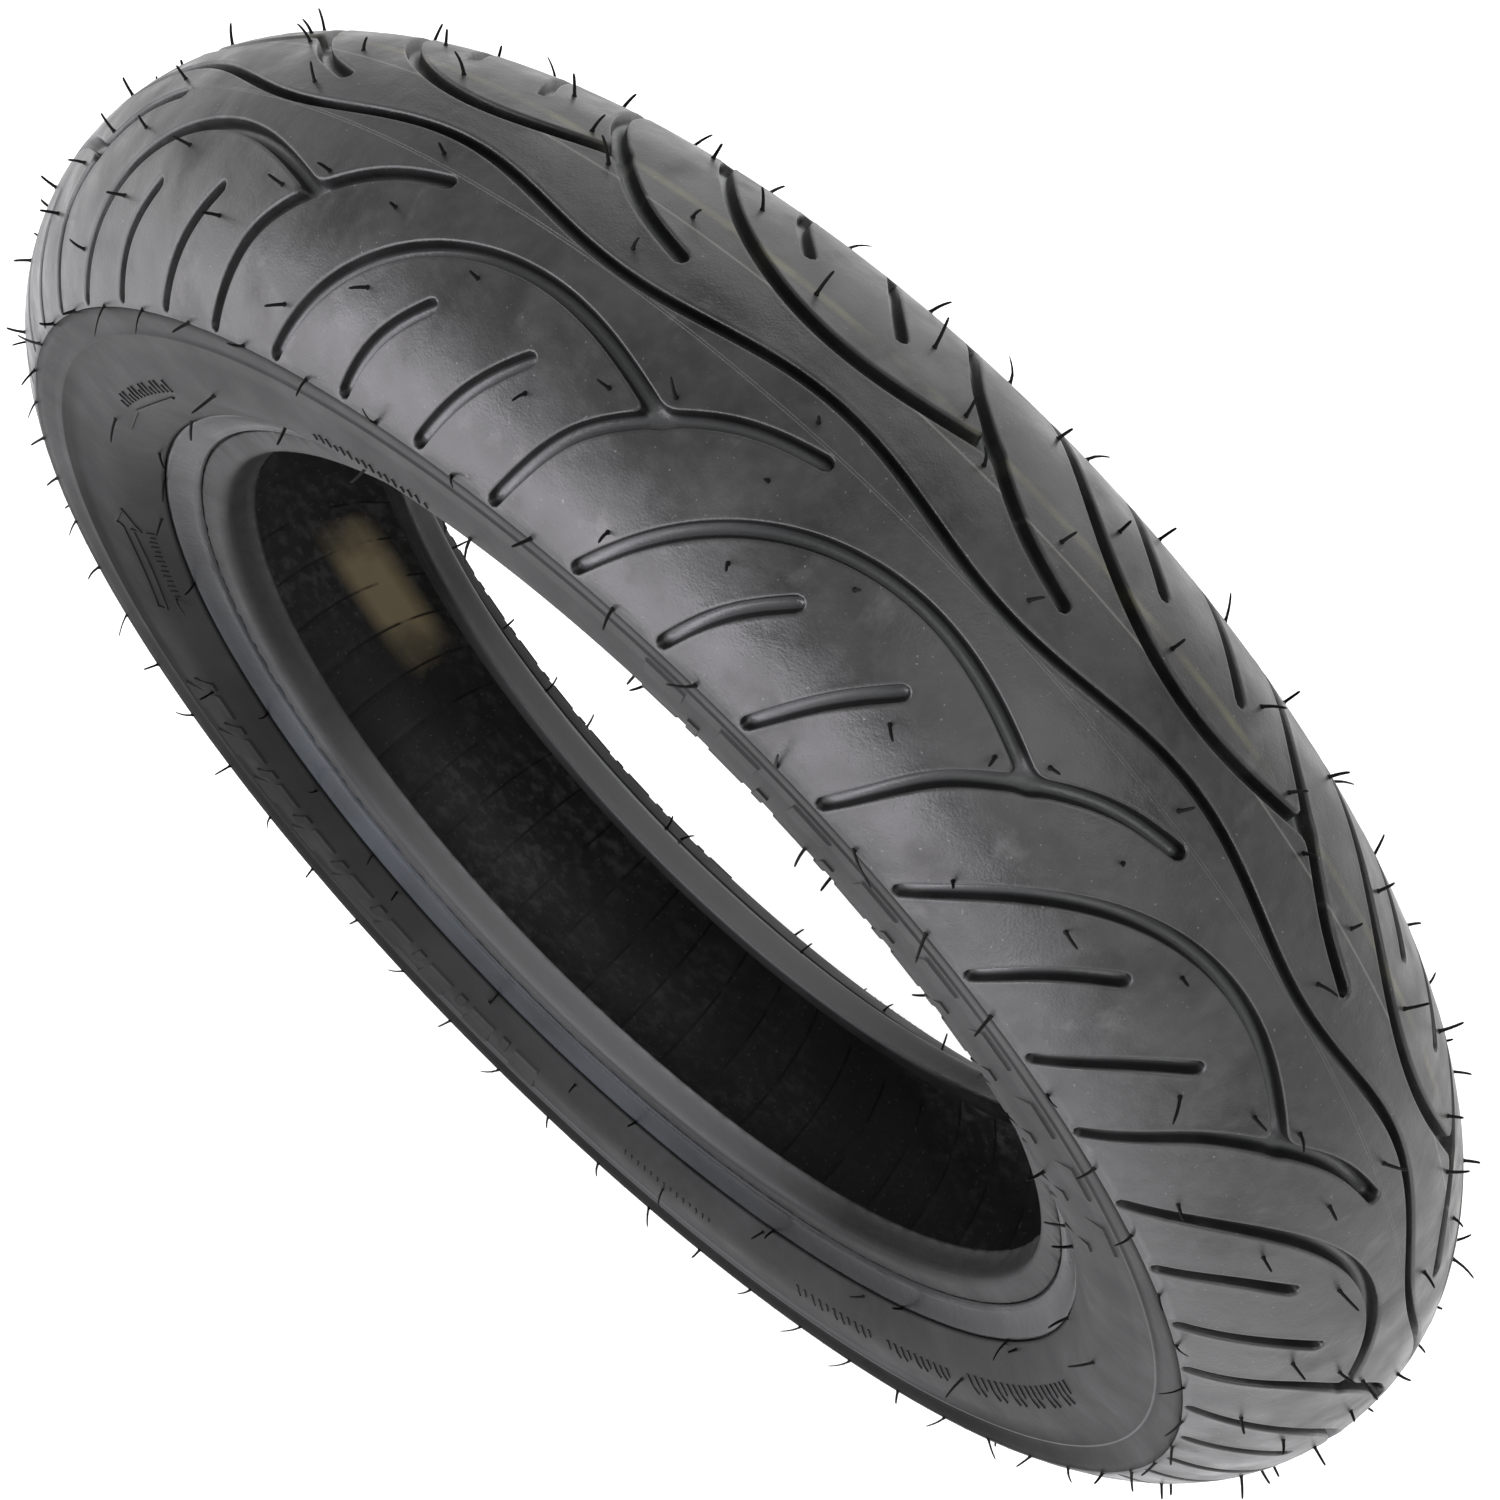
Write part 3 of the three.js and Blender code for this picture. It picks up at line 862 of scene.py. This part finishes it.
def bead_detail(paint, colour, rough, height):
    """Painted light: the bead is painted paler low on one side, and its seat paler still low down, where
    light falls on them.
    """
    smear = paint.scale(paint.noise(1.0, 5, paint.stretched(12, 70, 12)), 0.35, 0.65, 0.25, 1.0)
    # Painted light: the bead is paler low on one side.
    painted_light = paint.times(toward(paint, 232, 0.09, 0.16), smear)
    colour = paint.mix(painted_light, colour, grey(52))
    # Painted light: the seat is painted paler low down.
    on_seat = paint.scale(paint.radius(), *SEAT_ENDS, 1.0, 0.0)
    seat_light = paint.times(on_seat, toward(paint, 257, 0.11, 0.162))
    return paint.mix(paint.times(seat_light, 0.85), colour, grey(81)), rough, height


def strip_detail(paint, colour, rough, height):
    """Painted highlight: the low part of the strip is painted paler and bluish, as a reflection."""
    streak = paint.scale(paint.noise(1.0, 4, paint.stretched(18, 60, 18)), 0.35, 0.65, 0.3, 1.0)
    painted_light = paint.times(toward(paint, 238, 0.1, 0.17), streak)
    return paint.mix(painted_light, colour, grey(50, -4)), rough, height


# Places of the lines along the tread, in metres across it.
PARTING_LINES = (-0.0052, -0.0059)
PALE_LINE, EXTRUDER_STRIPE = 0.017, 0.025


def tread_detail(paint, colour, rough, height):
    """Stains, scuffs and fine lines, painted shade on the walls of the grooves, and groove floors painted
    paler than the walls.
    """
    _, across = paint.across()
    # Stained streaks and rubbed patches.
    streak = paint.noise(1.0, 5, paint.stretched(46, 15, 46))
    stained = paint.scale(streak, 0.57, 0.7, 0.0, 0.8)
    colour = paint.mix(stained, colour, grey(20, 1))
    rough = paint.math("ADD", rough, paint.times(stained, 0.1))
    scuff = paint.noise(1.0, 6, paint.stretched(90, 30, 90))
    colour = paint.mix(paint.scale(scuff, 0.62, 0.82, 0.0, 0.24), colour, grey(130, 1))
    specks = paint.scale(paint.noise(900, 1), 0.745, 0.79, 0.0, 0.45)
    colour = paint.mix(specks, colour, grey(120, 2))
    # Parting lines beside the centre groove, and a pale and a coloured line from the extruder.
    for place in PARTING_LINES:
        line = paint.line(across, place, 0.00005, 0.0001)
        height = paint.math("ADD", height, paint.times(line, 0.8))
        colour = paint.mix(paint.times(line, 0.1), colour, grey(150))
    pale = paint.line(across, PALE_LINE, 0.0001, 0.0004)
    colour = paint.mix(paint.times(pale, 0.25), colour, grey(150, 4))
    broken = paint.scale(paint.noise(45, 5), 0.4, 0.7, 0.0, 0.35)
    stripe = paint.times(paint.line(across, EXTRUDER_STRIPE, 0.0006, 0.0012), broken)
    colour = paint.mix(stripe, colour, (0.19, 0.18, 0.085, 1.0))
    # The walls of the grooves are painted dark: painted shade in the grooves, and partly bare rubber that no
    # dust is rubbed onto.
    depth = paint.node("ShaderNodeAttribute", {"attribute_name": "depth"}).outputs["Fac"]
    wall = paint.times(paint.scale(depth, 0.03, 0.14), paint.scale(depth, 0.6, 0.95, 1.0, 0.0))
    colour = paint.mix(paint.times(wall, 0.85), colour, grey(12))
    # The floors of the grooves are painted paler: partly their dusty tone, and partly painted light against
    # the shade in the grooves.
    floor = paint.scale(depth, 0.7, 1.0, 0.0, 0.85)
    colour = paint.mix(floor, colour, grey(76, -1))
    return colour, rough, height


PATCH_TOWARD = 215.5  # degrees from +X toward +Z
PATCH_Y, PATCH_HALF_LENGTH, PATCH_HALF_WIDTH = 0.032, 0.013, 0.004


def liner_detail(paint, colour, rough, height):
    """Pale specks, worn places, a tan patch, and painted shadow along the vent lines."""
    place = paint.node("ShaderNodeSeparateXYZ", Vector=paint.place)
    x, y, z = place.outputs[0], place.outputs[1], place.outputs[2]
    specks = paint.scale(paint.noise(620, 2), 0.66, 0.72, 0.0, 0.8)
    colour = paint.mix(specks, colour, grey(104, -4))
    worn = paint.scale(paint.noise(1.0, 8, paint.stretched(170, 300, 170)), 0.47, 0.65, 0.0, 0.6)
    patchy = paint.scale(paint.noise(14, 2), 0.4, 0.6)
    colour = paint.mix(paint.times(worn, patchy), colour, grey(104))
    # A tan patch of cured release paint low on the right half, fading out on all sides.
    patch_at = math.radians(PATCH_TOWARD)
    sideways = paint.math(
        "ADD",
        paint.times(x, -math.sin(patch_at)),
        paint.times(z, math.cos(patch_at)),
    )
    inward = paint.math(
        "ADD",
        paint.times(x, math.cos(patch_at)),
        paint.times(z, math.sin(patch_at)),
    )
    uneven = paint.scale(paint.noise(60, 5), 0.3, 0.7, -0.006, 0.006)
    long = paint.line(paint.math("ADD", sideways, uneven), 0.0, PATCH_HALF_LENGTH, 0.024)
    wide = paint.line(y, PATCH_Y, PATCH_HALF_WIDTH, 0.0055)
    here = paint.scale(inward, 0.1, 0.11)
    patch = paint.times(paint.times(long, wide), here)
    colour = paint.mix(paint.times(patch, 0.9), colour, (0.55, 0.45, 0.27, 1.0))
    # Painted shadow: the moulded lines are painted dark along their ridges.
    share, _ = paint.across()
    steps = paint.math("FRACT", paint.math("ADD", paint.times(share, VENT_LINES), 0.5))
    line = paint.line(steps, 0.5, 0.016, 0.024)
    broken = paint.scale(paint.noise(55, 4), 0.42, 0.52, 0.0, 0.9)
    colour = paint.mix(paint.times(line, broken), colour, grey(6))
    return colour, rough, height


CORD_SCALE = 180


def cord_fabric(name, base):
    paint = Paint(name)
    split = paint.node("ShaderNodeSeparateXYZ", Vector=paint.place)
    cords = paint.node("ShaderNodeTexWave", {"wave_type": "BANDS", "bands_direction": "DIAGONAL"})
    paint.plug(cords.inputs["Vector"], paint.place)
    cords.inputs["Scale"].default_value = CORD_SCALE
    cords.inputs["Distortion"].default_value = 0.6
    shade = paint.math("ADD", cords.outputs["Fac"], paint.times(split.outputs[1], 0.5))
    light = tuple(min(1.0, c * 1.5) for c in base[:3]) + (1.0,)
    colour = paint.mix(paint.scale(shade, 0.1, 0.9), base, light)
    return paint.finish(colour, paint.scale(paint.noise(80), 0.3, 0.7, 0.75, 0.95), cords.outputs["Fac"])


def bead_steel():
    paint = Paint("bead_steel", metallic=0.9)
    strands = paint.noise(1.0, 3, paint.stretched(30, 900, 30))
    colour = paint.mix(paint.scale(strands, 0.35, 0.65), (0.3, 0.23, 0.13, 1.0), (0.5, 0.4, 0.25, 1.0))
    return paint.finish(colour, paint.scale(strands, 0.3, 0.7, 0.3, 0.5), strands)


def dress(thing, material):
    thing.data.materials.clear()
    thing.data.materials.append(material)


# ---- Studio --------------------------------------------------------------------------------------
def add_light(name, place, aim, size, power, colour):
    data = bpy.data.lights.new(name, "AREA")
    data.shape = "RECTANGLE"
    data.size, data.size_y = size
    data.energy = power
    data.color = colour
    light = bpy.data.objects.new(name, data)
    light.location = place
    light.rotation_mode = "QUATERNION"
    light.rotation_quaternion = (Vector(aim) - Vector(place)).to_track_quat("-Z", "Y")
    bpy.context.scene.collection.objects.link(light)


HORIZON, ZENITH = 0.8, 0.62  # how bright the white studio is round the tire, and above it
FLOOR_HALF, FLOOR_GAP = 4, 0.0003  # half the floor's side, and how far it lies below the tire
FLOOR_GLOW = 0.35
# [name, place, aim, size, power, colour] of each softbox.
LIGHTS = [
    ("key", (-0.35, -1.65, 0.42), (0, 0, 0.05), (3.2, 0.9), 61, (1.0, 0.97, 1.04)),
    ("left", (-1.75, -0.6, 0.05), (0, 0, 0), (1.5, 0.5), 3.5, (1, 1, 1)),
    ("back", (-0.35, 1.45, 0.75), (0, 0, 0), (2.2, 1.4), 16, (1, 1, 1)),
    ("fill", (0.95, -0.15, 1.2), (0, 0, 0), (0.9, 0.9), 6, (1, 1, 1)),
]


def add_studio():
    paint = Paint("floor_paper", specular=0.2)
    paint.shader.inputs["Emission Color"].default_value = (1, 1, 1, 1)
    paint.shader.inputs["Emission Strength"].default_value = FLOOR_GLOW
    tone = paint.mix(paint.scale(paint.noise(3), 0.3, 0.7), grey(250), grey(253))
    paper = paint.finish(tone, 0.9, paint.noise(400), 0.0001, 0.1)
    mesh = bpy.data.meshes.new("floor")
    low = -OUTER_RADIUS * MM - FLOOR_GAP
    corners = [(x * FLOOR_HALF, y * FLOOR_HALF, low) for x, y in ((-1, -1), (1, -1), (1, 1), (-1, 1))]
    mesh.from_pydata(corners, [], [(0, 1, 2, 3)])
    floor = bpy.data.objects.new("floor", mesh)
    bpy.context.scene.collection.objects.link(floor)
    dress(floor, paper)
    world = bpy.data.worlds.new("studio")
    bpy.context.scene.world = world
    world.use_nodes = True
    nodes, links = world.node_tree.nodes, world.node_tree.links
    sky = nodes["Background"]
    direction = nodes.new("ShaderNodeTexCoord")
    split = nodes.new("ShaderNodeSeparateXYZ")
    height = nodes.new("ShaderNodeMapRange")
    links.new(direction.outputs["Generated"], split.inputs[0])
    links.new(split.outputs[2], height.inputs[0])
    for place, value in enumerate((0.0, 0.6, HORIZON, ZENITH), 1):
        height.inputs[place].default_value = value
    links.new(height.outputs[0], sky.inputs["Strength"])
    sky.inputs["Color"].default_value = (1, 1, 1, 1)
    for light in LIGHTS:
        add_light(*light)
    bpy.context.scene.view_settings.view_transform = "Standard"


# ---- Assembly ------------------------------------------------------------------------------------
add_camera()
add_studio()

tread_paint = rubber("tread_rubber", 27, 50, 0.3, 0.54, 0.2, tread_detail)
sidewall_paint = rubber("sidewall_rubber", 22, 32, 0.5, 0.64, 0.2, sidewall_detail, 0.12)
strip_paint = rubber("strip_rubber", 14, 20, 0.26, 0.38, -1, strip_detail, 0.14)
bead_paint = rubber("bead_rubber", 16, 24, 0.4, 0.55, 0, bead_detail, 0.14)
liner_paint = rubber("liner_rubber", 38, 50, 0.5, 0.65, 0, liner_detail)
hair_paint = rubber("hair_rubber", 12, 20, 0.6, 0.75, specular=0.1)

dress(add_tread(), tread_paint)
for hairs in add_tread_hairs():
    dress(hairs, hair_paint)
for side, name in ((-1, "left"), (1, "right")):
    wall, strip, bead = add_side_rings(side, name)
    dress(wall, sidewall_paint)
    dress(strip, strip_paint)
    dress(bead, bead_paint)
    dress(add_marks(side, name), sidewall_paint)
    hairs = add_side_hairs(side, name)
    dress(hairs, hair_paint)
dress(add_liner(), liner_paint)

hidden_rubber = rubber("hidden_rubber", 40, 52, 0.6, 0.8)
breaker_fabric = cord_fabric("breaker_fabric", (0.03, 0.026, 0.021, 1.0))
ply_fabric = cord_fabric("ply_fabric", (0.02, 0.018, 0.015, 1.0))
steel = bead_steel()
INNER_PAINTS = {
    "tread_base": hidden_rubber,
    "outer_breaker_ply": breaker_fabric,
    "inner_breaker_ply": breaker_fabric,
    "outer_carcass_ply": ply_fabric,
    "inner_carcass_ply": ply_fabric,
    "left_bead_filler": hidden_rubber,
    "right_bead_filler": hidden_rubber,
    "left_bead_wire": steel,
    "right_bead_wire": steel,
}
for node, paint in INNER_PAINTS.items():
    dress(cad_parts[node], paint)
